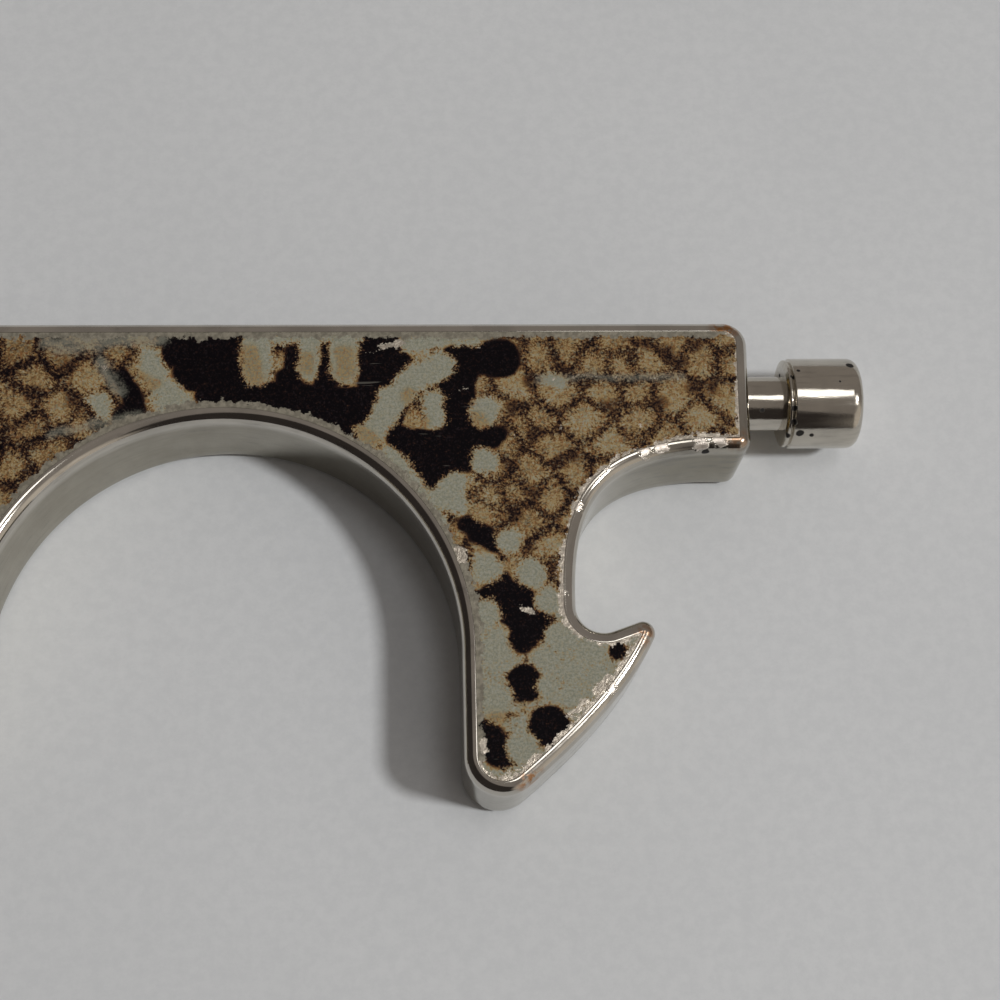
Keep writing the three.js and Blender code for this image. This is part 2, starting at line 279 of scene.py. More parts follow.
# ---------------------------------------------------------------- shader helpers
class Shader:
    """Builds one node material from short calls."""

    def __init__(self, name):
        self.material = bpy.data.materials.new(name)
        self.material.use_nodes = True
        self.tree = self.material.node_tree
        self.tree.nodes.clear()
        output = self.tree.nodes.new("ShaderNodeOutputMaterial")
        self.surface = self.tree.nodes.new("ShaderNodeBsdfPrincipled")
        self.tree.links.new(self.surface.outputs[0], output.inputs[0])
        self.place = self.tree.nodes.new("ShaderNodeTexCoord").outputs["Object"]

    def feed(self, socket, value):
        if isinstance(value, bpy.types.NodeSocket):
            self.tree.links.new(value, socket)
        elif value is not None:
            socket.default_value = value

    def set(self, **values):
        for name, value in values.items():
            self.feed(self.surface.inputs[name.replace("_", " ")], value)

    def math(self, kind, a, b=None, clamp=False):
        node = self.tree.nodes.new("ShaderNodeMath")
        node.operation = kind
        node.use_clamp = clamp
        self.feed(node.inputs[0], a)
        self.feed(node.inputs[1], b)
        return node.outputs[0]

    def ramp(self, value, low, high, out_low=0.0, out_high=1.0):
        node = self.tree.nodes.new("ShaderNodeMapRange")
        node.interpolation_type = "SMOOTHSTEP"
        for socket, number in zip(node.inputs, (value, low, high, out_low, out_high)):
            self.feed(socket, number)
        return node.outputs[0]

    def mix(self, share, a, b):
        node = self.tree.nodes.new("ShaderNodeMix")
        node.data_type = "RGBA"
        self.feed(node.inputs[0], share)
        self.feed(node.inputs[6], a)
        self.feed(node.inputs[7], b)
        return node.outputs[2]

    def blend(self, share, a, b):
        node = self.tree.nodes.new("ShaderNodeMix")
        self.feed(node.inputs[0], share)
        self.feed(node.inputs[2], a)
        self.feed(node.inputs[3], b)
        return node.outputs[0]

    def spokes(self, name, per_turn, detail=1.0):
        """Noise that runs out from the middle of each scale like hair."""
        source = self.tree.nodes.new("ShaderNodeAttribute")
        source.attribute_name = name
        node = self.tree.nodes.new("ShaderNodeTexNoise")
        node.inputs["Scale"].default_value = per_turn
        node.inputs["Detail"].default_value = detail
        self.feed(node.inputs["Vector"], source.outputs["Vector"])
        return node.outputs["Fac"]

    def noise(self, per_mm, detail=3.0, stretch=(1, 1, 1), roughness=0.55):
        node = self.tree.nodes.new("ShaderNodeTexNoise")
        node.inputs["Scale"].default_value = per_mm / MM
        node.inputs["Detail"].default_value = detail
        node.inputs["Roughness"].default_value = roughness
        self.feed(node.inputs["Vector"], self.stretched(stretch))
        return node.outputs["Fac"]

    def stretched(self, stretch):
        if stretch == (1, 1, 1):
            return self.place
        node = self.tree.nodes.new("ShaderNodeMapping")
        node.inputs["Scale"].default_value = stretch
        self.feed(node.inputs["Vector"], self.place)
        return node.outputs[0]

    def near(self, point_mm, full_mm, none_mm):
        """1 within full_mm of a point and 0 beyond none_mm."""
        node = self.tree.nodes.new("ShaderNodeVectorMath")
        node.operation = "DISTANCE"
        self.feed(node.inputs[0], self.place)
        node.inputs[1].default_value = [c * MM for c in point_mm]
        return self.ramp(node.outputs["Value"], none_mm * MM, full_mm * MM)

    def height(self):
        node = self.tree.nodes.new("ShaderNodeSeparateXYZ")
        self.feed(node.inputs[0], self.place)
        return node.outputs[2]

    def attribute(self, name):
        node = self.tree.nodes.new("ShaderNodeAttribute")
        node.attribute_name = name
        return node.outputs["Fac"]

    def bump(self, height, depth_mm, strength=1.0):
        node = self.tree.nodes.new("ShaderNodeBump")
        node.inputs["Strength"].default_value = strength
        node.inputs["Distance"].default_value = depth_mm * MM
        self.feed(node.inputs["Height"], height)
        self.set(Normal=node.outputs[0])


# ---------------------------------------------------------------- materials
NICKEL = (0.62, 0.585, 0.525, 1)
TARNISH = (0.38, 0.17, 0.055, 1)
# The colour of dark specks and spots: dirt, and painted shade in the plunger collar's groove.
DIRT_AND_SHADE = (0.012, 0.010, 0.009, 1)


def shade_of(colour, share):
    """A colour darkened to a share of itself."""
    return [c * share for c in colour[:3]] + [1]


def worn_metal(
    name,
    base,
    roughness,
    tarnish=(),
    dirt_and_shade=(),
    scuff_highlight_spots=(),
    specks=0.0,
    stretch=(1, 1, 1),
    waves=0.0015,
    streaks_and_wall_shade=0.0,
):
    """Bright plate with polishing marks, dull patches, and tarnish, dirt and pale scuffs near given points.
    The pale scuffs are partly painted highlights, some dark points are painted shade, and with wall streaks
    the walls are darkened, partly as painted shade.
    """
    s = Shader(name)
    dull = s.noise(0.35, 4)
    marks = s.noise(2.2, 3, stretch)
    fine = s.noise(9, 2)
    ragged = s.noise(1.5, 5, roughness=0.7)
    colour = s.mix(s.ramp(dull, 0.35, 0.7), base, shade_of(base, 0.84))
    rough = s.ramp(marks, 0.35, 0.75, roughness * 0.7, roughness * 1.5)
    rough = s.math("ADD", rough, s.ramp(dull, 0.45, 0.75, 0, 0.06))
    colour = s.mix(s.ramp(marks, 0.46, 0.68, 0, 0.4), colour, shade_of(base, 0.62))
    # With wall streaks, the walls below the top edge are darkened to grey-green, most of all the wall under
    # the bar near the notch: partly grime, partly painted shade. Dark streaks along the walls are stronger
    # there too.
    if streaks_and_wall_shade:
        under_bar_grime_and_shade = s.near((35.0, -6.5, 8.5), 3.5, 8.0)
        low = s.ramp(s.height(), 7.3 * MM, 6.2 * MM)
        wear_and_wall_shade = s.math("MULTIPLY", low, s.ramp(dull, 0.3, 0.7, 0.7, 0.8))
        wear_and_wall_shade = s.math("ADD", wear_and_wall_shade, s.math("MULTIPLY", under_bar_grime_and_shade, 0.34))
        colour = s.mix(wear_and_wall_shade, colour, (0.27, 0.245, 0.185, 1))
        streak_and_shade = s.math("ADD", s.noise(1.6, 4, (0.3, 0.3, 1)), s.math("MULTIPLY", under_bar_grime_and_shade, 0.15))
        streak_and_shade = s.ramp(streak_and_shade, 0.56, 0.86, 0, streaks_and_wall_shade)
        colour = s.mix(streak_and_shade, colour, shade_of(base, 0.3))
        rough = s.math("ADD", rough, s.math("MULTIPLY", streak_and_shade, 0.2))
    # Pale rough patches near given points: rubbed metal, partly a painted highlight.
    scuff_highlights = 0.0
    for point, reach in scuff_highlight_spots:
        scuff_highlights = s.math("MAXIMUM", scuff_highlights, s.near(point, 0, reach))
    if scuff_highlight_spots:
        scuff_highlights = s.math("ADD", s.math("MULTIPLY", scuff_highlights, 0.5), s.noise(1.9, 5, (0.7, 1.2, 1), 0.75))
        scuff_highlights = s.ramp(scuff_highlights, 0.82, 0.95)
        colour = s.mix(scuff_highlights, colour, (0.84, 0.77, 0.69, 1))
        rough = s.blend(scuff_highlights, rough, 0.36)
    for point, reach, strength in tarnish:
        patch = s.math("MULTIPLY", s.near(point, reach * 0.3, reach), s.ramp(ragged, 0.40, 0.56, 0, strength))
        colour = s.mix(patch, colour, TARNISH)
        rough = s.blend(patch, rough, roughness + 0.16)
    grime_and_shade = s.ramp(ragged, 0.80 - specks, 0.84 - specks)
    # Dark spots near given points: dirt, and painted shade in the plunger collar's groove.
    for point, reach in dirt_and_shade:
        dark_spot = s.math("ADD", s.near(point, 0, reach), s.math("MULTIPLY", ragged, 0.9))
        grime_and_shade = s.math("MAXIMUM", grime_and_shade, s.ramp(dark_spot, 0.93, 1.03))
    colour = s.mix(grime_and_shade, colour, DIRT_AND_SHADE)
    s.set(Base_Color=colour, Roughness=s.blend(grime_and_shade, rough, 0.7), Metallic=s.ramp(grime_and_shade, 0, 1, 1, 0.1))
    height = s.math("ADD", s.math("MULTIPLY", marks, 0.6), s.math("MULTIPLY", fine, 0.25))
    if scuff_highlight_spots:
        height = s.math("ADD", height, s.math("MULTIPLY", s.math("MULTIPLY", scuff_highlights, ragged), 24.0))
    s.bump(height, waves)
    return s.material


# The print's colours, from its darkest tone to its palest.
TONES = [
    (0.04, (0.0035, 0.0026, 0.0038, 1)),
    (0.20, (0.020, 0.010, 0.009, 1)),
    (0.36, (0.090, 0.047, 0.024, 1)),
    (0.50, (0.215, 0.130, 0.055, 1)),
    (0.66, (0.400, 0.290, 0.140, 1)),
    (0.82, (0.375, 0.355, 0.260, 1)),
    (0.98, (0.400, 0.405, 0.345, 1)),
]
BARE = (0.74, 0.67, 0.57, 1)
DULL = (0.33, 0.305, 0.245, 1)


def snake_print():
    """The printed film: scales, dark blotches and pale scales, worn through to metal along the edges."""
    s = Shader("snake_print")
    hair = s.noise(3.6, 2, roughness=0.8)
    speckle = s.noise(7.0, 1)
    cloud = s.noise(0.8, 3)
    grain = s.math("MULTIPLY", s.math("SUBTRACT", hair, 0.5), 1.6)
    grain = s.math("ADD", grain, s.math("MULTIPLY", s.math("SUBTRACT", speckle, 0.5), 1.0))
    spoke = s.math("MULTIPLY", s.math("SUBTRACT", s.spokes("spoke", 8.0), 0.5), 0.85)
    grain = s.math("ADD", grain, spoke)
    fringe = s.math("MULTIPLY", grain, 0.46)

    edge = s.math("ADD", s.attribute("scale_edge"), fringe)
    tone = s.ramp(edge, -0.2, 0.72, 0.21, 0.63)
    tone = s.math("ADD", tone, s.math("MULTIPLY", s.math("SUBTRACT", s.attribute("scale_tint"), 0.5), 0.12))
    tone = s.math("ADD", tone, s.math("MULTIPLY", s.math("SUBTRACT", cloud, 0.5), 0.35))
    fields = (
        ("brown", -0.5, 0.5, 0.24),
        ("dark", -0.30, 0.06, 0.0),
        ("pale", -0.42, 0.22, 0.9),
        ("honey", -0.35, 0.35, 0.62),
    )
    for name, none, full, level in fields:
        tone = s.blend(s.ramp(s.math("ADD", s.attribute(name), fringe), none, full), tone, level)
    paleness = s.ramp(s.math("ADD", s.attribute("pale"), fringe), -0.3, 0.3)
    tone = s.math("ADD", tone, s.math("MULTIPLY", grain, s.blend(paleness, 0.46, 0.16)))
    colour = TONES[0][1]
    for (low, _), (high, shade) in zip(TONES, TONES[1:]):
        colour = s.mix(s.ramp(tone, low, high), colour, shade)
    middle = s.math("MULTIPLY", s.ramp(tone, 0.22, 0.5), s.ramp(tone, 0.70, 0.86, 1, 0.12))
    warm = s.ramp(s.noise(4.6, 1, (1.3, 0.8, 1)), 0.52, 0.70, 0, 0.55)
    cool = s.ramp(s.noise(5.2, 1, (0.8, 1.2, 1)), 0.52, 0.70, 0, 0.50)
    colour = s.mix(s.math("MULTIPLY", warm, middle), colour, (0.27, 0.105, 0.035, 1))
    cool = s.math("MULTIPLY", cool, s.math("MAXIMUM", middle, s.math("MULTIPLY", paleness, 0.5)))
    colour = s.mix(cool, colour, (0.19, 0.215, 0.165, 1))
    fleck = s.math("MULTIPLY", s.ramp(s.noise(5.5, 2, roughness=0.75), 0.38, 0.66, 0, 0.75), paleness)
    colour = s.mix(fleck, colour, (0.225, 0.24, 0.19, 1))
    lint = s.ramp(s.noise(6.2, 2, roughness=0.7), 0.55, 0.72, 0, 0.75)
    night = s.ramp(tone, 0.04, 0.24, 1, 0)
    colour = s.mix(s.math("MULTIPLY", lint, night), colour, (0.026, 0.018, 0.021, 1))

    scratch = s.ramp(s.noise(1.1, 2, (0.22, 2.4, 1)), 0.735, 0.76)
    cross = s.ramp(s.noise(1.0, 2, (2.2, 0.3, 1)), 0.75, 0.775)
    hairs = s.math("MAXIMUM", scratch, cross)
    colour = s.mix(s.math("MULTIPLY", hairs, 0.35), colour, (0.24, 0.23, 0.20, 1))
    smear = s.math("ADD", s.attribute("smear"), s.math("MULTIPLY", grain, 0.5))
    colour = s.mix(s.ramp(smear, -0.35, 0.5, 0, 0.62), colour, (0.30, 0.30, 0.245, 1))

    dull = s.attribute("dull")
    wide = s.noise(0.25, 2)
    ragged = s.math("MULTIPLY", s.noise(1.6, 5, roughness=0.68), 1.7)
    ragged = s.math("ADD", ragged, s.math("MULTIPLY", wide, 0.9))
    reach = s.math("SUBTRACT", ragged, s.attribute("rim"))
    bare = s.ramp(s.math("ADD", reach, s.math("MULTIPLY", dull, 0.24)), 1.03, 1.12)
    wear_and_wall_shade = s.math("ADD", s.attribute("bare"), s.math("MULTIPLY", grain, 0.22))
    scraped = s.ramp(wear_and_wall_shade, 0.0, 0.08)
    dull = s.math("MULTIPLY", dull, s.math("SUBTRACT", 1.0, scraped))
    bare = s.math("MAXIMUM", bare, scraped)
    patchy = s.ramp(s.noise(2.6, 3), 0.35, 0.65)
    metal_colour = s.mix(patchy, BARE, shade_of(BARE, 0.62))
    dull_colour = s.mix(patchy, DULL, shade_of(DULL, 0.66))
    colour = s.mix(bare, colour, s.mix(dull, metal_colour, dull_colour))
    metal = s.math("MULTIPLY", bare, s.blend(dull, 1.0, 0.2))
    rough = s.blend(bare, s.ramp(hair, 0.3, 0.7, 0.45, 0.65), s.blend(patchy, 0.30, 0.5))
    s.set(Base_Color=colour, Metallic=metal, Roughness=rough)
    s.surface.inputs["Specular IOR Level"].default_value = 0.05
    height = s.math("MULTIPLY", hair, s.blend(bare, 0.4, 1.6))
    height = s.math("SUBTRACT", height, s.math("MULTIPLY", bare, 0.8))
    s.bump(height, 0.035)
    return s.material


def floor_material():
    """Smooth pale paper with a very fine tooth."""
    s = Shader("paper")
    tooth = s.noise(1.6, 4)
    wide = s.noise(0.03, 2)
    shade = s.mix(s.ramp(wide, 0.3, 0.7), (0.740, 0.768, 0.795, 1), (0.765, 0.793, 0.82, 1))
    mottle = s.ramp(s.noise(0.9, 5, roughness=0.75), 0.35, 0.65, 0.35, 0)
    s.set(
        Base_Color=s.mix(mottle, shade, (0.63, 0.66, 0.69, 1)),
        Roughness=s.ramp(tooth, 0.3, 0.7, 0.62, 0.72),
    )
    s.bump(tooth, 0.01)
    return s.material


casting_metal = worn_metal(
    "nickel_plate",
    NICKEL,
    0.10,
    tarnish=[
        ((36.9, 4.4, 7.8), 1.5, 0.95),
        ((21.7, -29.2, 8.0), 1.6, 0.9),
        ((29.8, -18.9, 8.0), 1.1, 0.7),
        ((37.3, -4.3, 7.9), 1.2, 0.6),
    ],
    dirt_and_shade=[((35.0, -5.0, 7.3), 0.62), ((32.5, -5.0, 7.3), 0.5), ((34.2, -4.9, 7.5), 0.4)],
    # Pale rubbed patches, partly painted highlights.
    scuff_highlight_spots=[
        ((30.4, -5.2, 7.9), 1.5),
        ((31.6, -4.9, 7.9), 1.5),
        ((34.6, -4.6, 7.9), 1.5),
        ((36.0, -4.4, 7.9), 1.6),
        ((27.4, -6.4, 7.9), 1.1),
        ((25.4, -9.4, 7.9), 1.2),
        ((23.9, -15.6, 7.9), 1.2),
        ((27.2, -22.6, 7.9), 1.0),
    ],
    specks=0.045,
    stretch=(0.12, 0.12, 1.4),
    # Dark wall streaks, and walls darkened partly as painted shade.
    streaks_and_wall_shade=0.55,
)
plunger_metal = worn_metal(
    "chrome_plate",
    (0.60, 0.56, 0.49, 1),
    0.12,
    dirt_and_shade=[
        ((46.4, 1.95, 6.8), 0.62),
        ((42.4, 1.4, 7.1), 0.34),
        ((42.5, -3.0, 5.6), 0.62),
        ((43.4, -3.05, 5.4), 0.4),
        ((41.6, -3.1, 5.2), 0.6),
        ((38.8, 1.85, 4.9), 0.62),
        ((41.4, 1.9, 4.8), 0.5),
        ((38.7, -1.9, 4.7), 0.55),
        ((39.8, -1.2, 5.7), 0.35),
        ((45.4, 0.4, 7.4), 0.2),
        # These three darken the collar's groove: painted shade.
        ((41.95, -1.5, 6.9), 0.5),
        ((41.95, -2.4, 6.3), 0.55),
        ((41.9, 0.9, 7.1), 0.42),
    ],
    specks=0.0,
    stretch=(0.16, 1.3, 1.3),
    waves=0.014,
)
chain_metal = worn_metal("chain_steel", (0.64, 0.62, 0.58, 1), 0.18)
ring_metal = worn_metal("ring_steel", (0.65, 0.63, 0.59, 1), 0.16, stretch=(0.4, 0.4, 2))
brass_metal = worn_metal("brass", (0.62, 0.42, 0.16, 1), 0.28)
spring_metal = worn_metal("spring_steel", (0.42, 0.42, 0.43, 1), 0.3)
film_material = snake_print()


# ---------------------------------------------------------------- casting
def rounded_edge(radius, steps, rising):
    """Inset and height along a quarter-round edge, from the wall to the face or back."""
    angles = np.linspace(0, math.pi / 2, steps)
    pairs = [(radius - radius * math.cos(a), radius * math.sin(a)) for a in angles]
    return pairs if rising else pairs[::-1]


def fill_outline(ring):
    """Triangles that fill a closed ring of points, as indices into the ring. Folded spots share a point."""
    count = len(ring)
    edges = [(i, (i + 1) % count) for i in range(count)]
    flat = [Vector(p) for p in ring]
    _, _, faces, origins, *_ = geometry.delaunay_2d_cdt(flat, edges, [], 1, 1e-4)
    filled = []
    for face in faces:
        corners = [origins[i][0] if origins[i] else None for i in face]
        if None not in corners and len(set(corners)) == len(corners):
            filled.append(tuple(corners))
    return filled


def body_shell():
    """The casting's back, side, rounded edges, and the shallow seat that the film lies in."""
    back, front = BACK_ROUND, FRONT_ROUND
    profile = [(inset, back - rise) for inset, rise in rounded_edge(back, 8, False)]
    profile += [(0, z) for z in (1.6, 3, 4.5, 6)]
    profile += [(inset, THICKNESS - front + rise) for inset, rise in rounded_edge(front, 12, True)]
    profile += [(RIM - 0.02, THICKNESS - 0.004), (RIM - 0.01, THICKNESS - 0.02), (RIM, POCKET_FLOOR)]
    front_start = next(i for i, (inset, z) in enumerate(profile) if z > MID and inset > 0)
    depths = [p[0] for p in profile[front_start:]]
    heights = [p[1] for p in profile[front_start:]]
    vertices = []
    for k, (inset, height) in enumerate(profile):
        depth = np.minimum(inset, LIMITS)
        z = np.full(len(OUTLINE), height)
        if k > front_start:
            z = np.where(inset > LIMITS, np.interp(LIMITS, depths, heights), height)
        moved = OUTLINE + NORMALS * depth[:, None]
        vertices += [(x, y, h) for (x, y), h in zip(moved, z)]
    width = len(OUTLINE)
    faces = strips(len(profile), width)
    faces.append(tuple(range(width))[::-1])
    first = (len(profile) - 1) * width
    ring = np.array([v[:2] for v in vertices[first:]])
    faces += [tuple(first + i for i in face) for face in fill_outline(ring)]
    return vertices, faces


def lug_shell(first):
    """The thin key lug, a plate with a rounded hole, whose root runs into the bar's left end."""
    sides = 96
    edge = 0.55
    low, high = MID - LUG_THICKNESS / 2, MID + LUG_THICKNESS / 2
    reach = BAR_LEFT + 1.5 - LUG_X
    inwards, outwards = rounded_edge(edge, 6, False), rounded_edge(edge, 6, True)
    rows = []
    for outer, inset, z in (
        [(True, i, low + edge - h) for i, h in inwards]
        + [(True, i, high - edge + h) for i, h in outwards]
        + [(False, i, high - edge + h) for i, h in inwards]
        + [(False, i, low + edge - h) for i, h in outwards]
    ):
        row = []
        for k in range(sides):
            a = 2 * math.pi * k / sides
            radius = LUG_RADIUS - inset if outer else LUG_HOLE + inset
            if outer and math.cos(a) > 0:
                radius = min(radius / max(abs(math.sin(a)), 1e-6), reach / math.cos(a))
            row.append((LUG_X + radius * math.cos(a), radius * math.sin(a), z))
        rows.append(row)
    vertices = [v for row in rows for v in row]
    faces = strips(len(rows), sides, first=first)
    last = first + (len(rows) - 1) * sides
    faces += [(last + k, last + (k + 1) % sides, first + (k + 1) % sides, first + k) for k in range(sides)]
    return vertices, faces


def cut_round(obj, start, end, radius):
    """Cuts a round hole along the bar's centreline."""
    vertices, faces = turned([(start, radius), (end, radius)])
    sides = len(vertices) // 2
    faces += [tuple(range(sides)), tuple(range(sides, 2 * sides))[::-1]]
    cutter = new_object("cutter", vertices, faces, None)
    modifier = obj.modifiers.new("bore", "BOOLEAN")
    modifier.operation = "DIFFERENCE"
    modifier.solver = "EXACT"
    modifier.object = cutter
    cut = bpy.data.meshes.new_from_object(obj.evaluated_get(bpy.context.evaluated_depsgraph_get()))
    obj.modifiers.clear()
    obj.data = cut
    bpy.data.objects.remove(cutter)


def make_casting():
    vertices, faces = body_shell()
    lug_vertices, lug_faces = lug_shell(len(vertices))
    vertices, faces = vertices + lug_vertices, faces + lug_faces
    casting = new_object("casting", vertices, faces, "body", 30, casting_metal)
    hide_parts("body_casting")
    return casting


# ---------------------------------------------------------------- printed film
# Marks of the print as strokes: start, end and half width, in millimetres. A round mark has equal ends.
DARK_MARKS = [
    ((-7.2, 0.9), (-6.5, -0.4), 0.35),
    ((-6.6, -0.4), (-6.1, -1.5), 0.65),
    ((-6.3, -1.6), (-7.2, -2.4), 0.4),
    ((-3.2, 2.7), (-1.6, 2.0), 1.1),
    ((-1.6, 1.9), (1.3, 2.0), 1.15),
    ((-2.4, 0.8), (1.4, 0.0), 1.15),
    ((-0.9, -0.6), (1.2, -0.9), 0.9),
    ((1.4, -0.6), (3.4, -1.3), 1.2),
    ((-4.0, 3.6), (1.0, 3.7), 0.5),
    ((9.9, 3.6), (12.2, 3.7), 0.5),
    ((5.0, 2.6), (4.9, 1.0), 0.35),
    ((4.9, 0.6), (4.9, 0.0), 0.85),
    ((7.5, 2.5), (7.4, 1.2), 0.32),
    ((7.4, 0.8), (7.4, 0.2), 0.75),
    ((2.6, -1.5), (10.2, -2.0), 1.65),
    ((9.4, -3.2), (10.0, -4.2), 0.7),
    ((11.3, 3.2), (11.2, -0.2), 1.4),
    ((12.4, 2.2), (12.7, 1.8), 0.9),
    ((12.9, -1.9), (12.6, -3.5), 0.25),
    ((17.4, 2.2), (20.3, 2.1), 1.25),
    ((17.3, 1.4), (16.9, -1.2), 1.25),
    ((16.9, -1.4), (17.3, -3.6), 1.15),
    ((12.9, -4.3), (15.2, -7.2), 1.0),
    ((14.2, -4.8), (17.4, -5.0), 1.2),
    ((17.6, -4.5), (19.6, -4.0), 0.7),
    ((15.6, -6.5), (17.2, -5.9), 0.9),
    ((17.8, -10.8), (19.4, -12.1), 0.7),
    ((19.9, -14.6), (20.2, -15.2), 0.3),
    ((18.1, -16.1), (19.4, -15.8), 0.35),
    ((19.4, -15.9), (21.0, -16.1), 0.95),
    ((20.3, -16.8), (21.3, -17.6), 1.15),
    ((21.3, -18.0), (22.4, -18.0), 0.95),
    ((21.3, -19.0), (21.4, -19.4), 0.7),
    ((21.4, -20.0), (21.3, -21.2), -0.08),
    ((21.2, -22.2), (21.2, -22.3), 1.1),
    ((21.2, -23.2), (21.2, -24.4), -0.12),
    ((20.6, -24.5), (18.6, -24.9), -0.1),
    ((23.0, -23.9), (21.8, -24.2), -0.12),
    ((23.2, -17.2), (23.4, -18.2), -0.1),
    ((21.9, -15.0), (22.4, -16.0), -0.1),
    ((22.9, -25.2), (23.0, -25.3), 1.25),
    ((18.2, -25.3), (19.4, -27.0), 0.95),
    ((27.8, -20.0), (27.8, -20.0), 0.5),
    ((-21.4, -13.0), (-20.6, -17.2), 1.5),
    ((-20.6, -17.2), (-22.2, -21.0), 1.0),
    ((-22.4, 1.0), (-19.6, -1.6), 1.2),
    ((-19.2, -23.6), (-20.4, -26.4), 0.9),
]
BROWN_SPOTS = [
    (21.0, -1.8), (20.6, -6.2), (22.3, -8.3), (20.8, -9.9), (24.3, -6.0), (21.7, -12.4), (23.3, -14.1),
    (21.0, -24.6),
    (24.6, 1.3), (22.3, 0.3), (32.5, 2.5), (34.7, 3.0), (30.9, 3.3), (31.8, -1.5), (22.7, -3.9), (25.3, -5.5),
    (33.5, 1.7), (34.3, -0.2), (35.6, -0.2), (28.0, -1.7), (-13.6, -0.6), (-10.6, -1.0), (-11.0, 1.6),
]
PALE_MARKS = [
    ((-8.8, -1.2), (-8.5, -1.9), 0.6),
    ((-5.3, 2.2), (-4.9, 1.0), 0.75),
    ((-4.4, -0.2), (-3.4, -0.7), 0.7),
    ((-4.2, -1.4), (-2.6, -1.4), 0.5),
    ((2.2, 3.75), (9.6, 3.75), 0.28),
    ((2.55, 4.2), (2.45, 1.1), 1.05),
    ((6.2, 4.2), (6.2, 1.25), 0.65),
    ((8.75, 4.2), (8.75, 1.3), 0.88),
    ((15.5, 3.5), (13.7, 3.2), 0.75),
    ((15.8, 1.5), (13.9, 0.5), 0.95),
    ((13.9, 0.5), (12.3, -1.0), 0.95),
    ((12.3, -1.0), (11.7, -2.6), 0.9),
    ((11.7, -2.6), (10.6, -3.8), 0.85),
    ((15.3, -1.3), (15.3, -2.7), 0.78),
    ((19.0, -2.0), (19.0, -2.0), 1.0),
    ((16.6, 3.6), (18.4, 3.6), 0.3),
    ((12.0, -5.2), (13.4, -7.0), 0.45),
    ((13.4, -7.0), (14.6, -8.9), 0.5),
    ((14.6, -8.9), (15.6, -10.6), 0.5),
    ((18.8, -6.0), (18.8, -6.0), 0.9),
    ((16.8, -7.6), (15.6, -8.7), 0.8),
    ((16.9, -9.2), (16.9, -9.2), 0.75),
    ((20.4, -11.9), (20.4, -11.9), 0.9),
    ((18.8, -14.0), (18.8, -14.0), 0.95),
    ((22.0, -14.4), (22.0, -14.4), 1.0),
    ((23.1, -16.3), (23.1, -16.3), 0.9),
    ((18.6, -17.3), (18.6, -17.3), 1.05),
    ((19.3, -19.8), (19.3, -19.8), 1.15),
    ((24.0, -18.9), (24.0, -18.9), 1.1),
    ((22.8, -20.6), (22.8, -20.6), 0.9),
    ((25.9, -20.0), (25.9, -20.0), 1.0),
    ((24.4, -21.4), (24.4, -21.4), 0.95),
    ((26.4, -21.7), (26.4, -21.7), 0.8),
    ((22.9, -22.5), (22.9, -22.5), 0.75),
    ((24.5, -23.2), (24.5, -23.2), 0.85),
    ((19.3, -23.3), (19.3, -23.6), 1.05),
    ((21.0, -26.8), (21.0, -26.8), 1.1),
    ((24.0, 0.4), (24.4, 0.1), 0.5),
    ((-23.2, -15.4), (-23.0, -17.6), 0.9),
    ((-19.0, -20.6), (-19.3, -22.0), 1.0),
    ((-22.4, -24.4), (-22.0, -25.8), 1.0),
    ((-19.4, 2.2), (-18.6, 1.4), 0.9),
]
OCHRE_SPOTS = [
    (-14.6, 2.9), (-13.2, 0.8), (-12.0, 2.1), (-9.9, 0.6), (-13.4, -3.4), (-11.4, -1.7), (-9.7, -2.9),
    (-14.7, -1.6), (-12.3, -5.2), (-8.6, -2.2), (13.7, -3.1), (20.9, -0.1), (21.5, -3.3), (24.3, -0.7),
    (20.4, -4.4), (22.1, -6.8), (23.7, -4.7), (20.5, -8.3), (25.3, -6.9), (23.8, -8.8), (22.0, -10.6),
    (18.6, -9.9), (23.6, -12.4), (27.0, 1.6), (28.5, 3.4), (31.0, 1.7), (33.0, 3.4), (35.2, 2.0), (37.2, 1.6),
    (27.8, -0.7), (32.8, -0.9), (34.8, -2.7), (30.3, -2.8), (26.2, -2.7), (27.9, -4.7), (32.0, -4.4),
    (25.0, 3.0), (23.2, 2.3), (22.8, -2.9), (36.5, -1.3), (19.4, -8.6), (30.0, -0.6), (29.2, 1.2),
]
HONEY_MARKS = [
    ((1.9, 2.4), (2.3, 0.8), 0.8),
    ((6.0, 2.3), (6.1, 1.3), 0.45),
    ((8.9, 2.5), (8.8, 1.2), 0.65),
    ((-5.9, 0.7), (-5.0, 0.2), 0.45),
    ((10.0, -3.6), (10.8, -4.1), 0.5),
    ((14.4, -2.9), (14.5, -2.9), 0.45),
    ((13.2, -0.9), (13.4, -0.7), 0.45),
    ((18.6, -9.9), (18.6, -9.9), 0.85),
    ((19.0, -24.5), (19.6, -24.7), 0.4),
    ((18.4, -2.7), (18.8, -2.9), 0.45),
]
SMEARS = [
    ((-12.5, 3.4), (-4.5, 3.7), 0.55),
    ((-12.0, 2.9), (-9.0, 3.1), 0.4),
    ((-8.9, 2.0), (-7.4, -0.3), 0.45),
    ((23.3, 0.35), (24.9, 0.3), 0.38),
    ((24.5, 0.62), (33.5, 0.5), 0.2),
    ((-12.0, -3.8), (-6.0, -2.2), 0.3),
    ((14.0, 4.2), (20.0, 4.2), 0.35),
]
